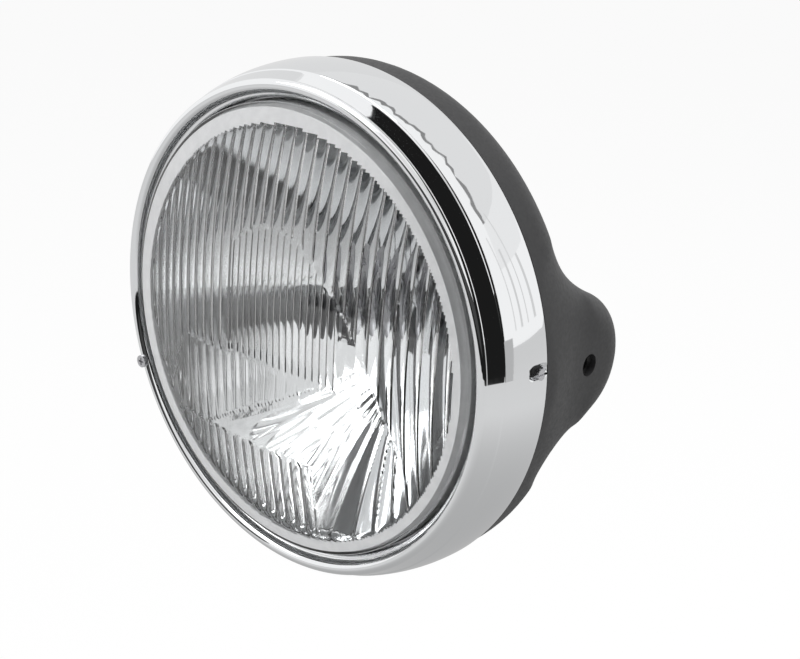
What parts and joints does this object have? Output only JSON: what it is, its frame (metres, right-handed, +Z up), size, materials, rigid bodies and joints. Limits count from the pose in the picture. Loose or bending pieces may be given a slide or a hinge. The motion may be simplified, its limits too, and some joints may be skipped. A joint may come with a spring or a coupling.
{
  "type": "motorcycle headlight",
  "caption": "Round 7 inch class motorcycle headlight with fluted glass lens, chrome rim, dark bowl shell and two threaded side bosses.",
  "frame": {"origin": "middle of the mounting axis, half way between the outer faces of the two threaded side bosses", "axes": "+Z up as fitted, the lamp shines along -Y, +X is the right-hand boss seen from in front"},
  "size_m": [0.1994, 0.129, 0.1994],
  "materials": {
    "shell_plastic": "satin dark grey",
    "brass": "machined",
    "chrome": "polished",
    "zinc_steel": "zinc plated",
    "painted_steel": "black painted",
    "rubber": "matte",
    "nylon": "natural nylon",
    "lens_glass": "clear moulded glass",
    "bulb_glass": "clear",
    "mirror": "aluminised"
  },
  "bodies": {
    "housing": {"shell": "shell_plastic", "mount_insert_right": "painted_steel", "mount_insert_left": "painted_steel", "rim": "chrome", "rim_screws": "zinc_steel", "rim_clip_nuts": "zinc_steel", "pivot_pin_top": "zinc_steel", "pivot_pin_bottom": "zinc_steel", "harness_grommet": "rubber", "adjuster_spring": "zinc_steel"},
    "light_unit": {"lens": "lens_glass", "lens_seal": "rubber", "reflector": "mirror", "carrier_ring": "painted_steel", "clamp_ring": "zinc_steel", "clamp_screws": "zinc_steel", "adjuster_nut": "nylon", "bulb_glass": "bulb_glass", "bulb_base": "zinc_steel", "bulb_filaments": "zinc_steel", "bulb_terminals": "brass", "bulb_clip": "zinc_steel", "bulb_boot": "rubber", "pilot_holder": "rubber", "pilot_bulb": "bulb_glass"},
    "aim_screw": {"adjuster_screw": "zinc_steel"}
  },
  "joints": [
    {"name": "beam_aim", "type": "hinge", "parent": "housing", "child": "light_unit", "pos_m": [0, -0.0435, 0], "axis": [0, 0, 1], "range_deg": [-2, 2], "deforming": ["adjuster_spring"]},
    {"name": "adjuster_turn", "type": "hinge", "parent": "housing", "child": "aim_screw", "pos_m": [-0.0854, -0.0585, -0.0345], "axis": [0, 1, 0], "range_deg": [-2200, 2200]}
  ],
  "couplings": [
    {"joint": "adjuster_turn", "follows": "beam_aim", "ratio": 1073}
  ]
}
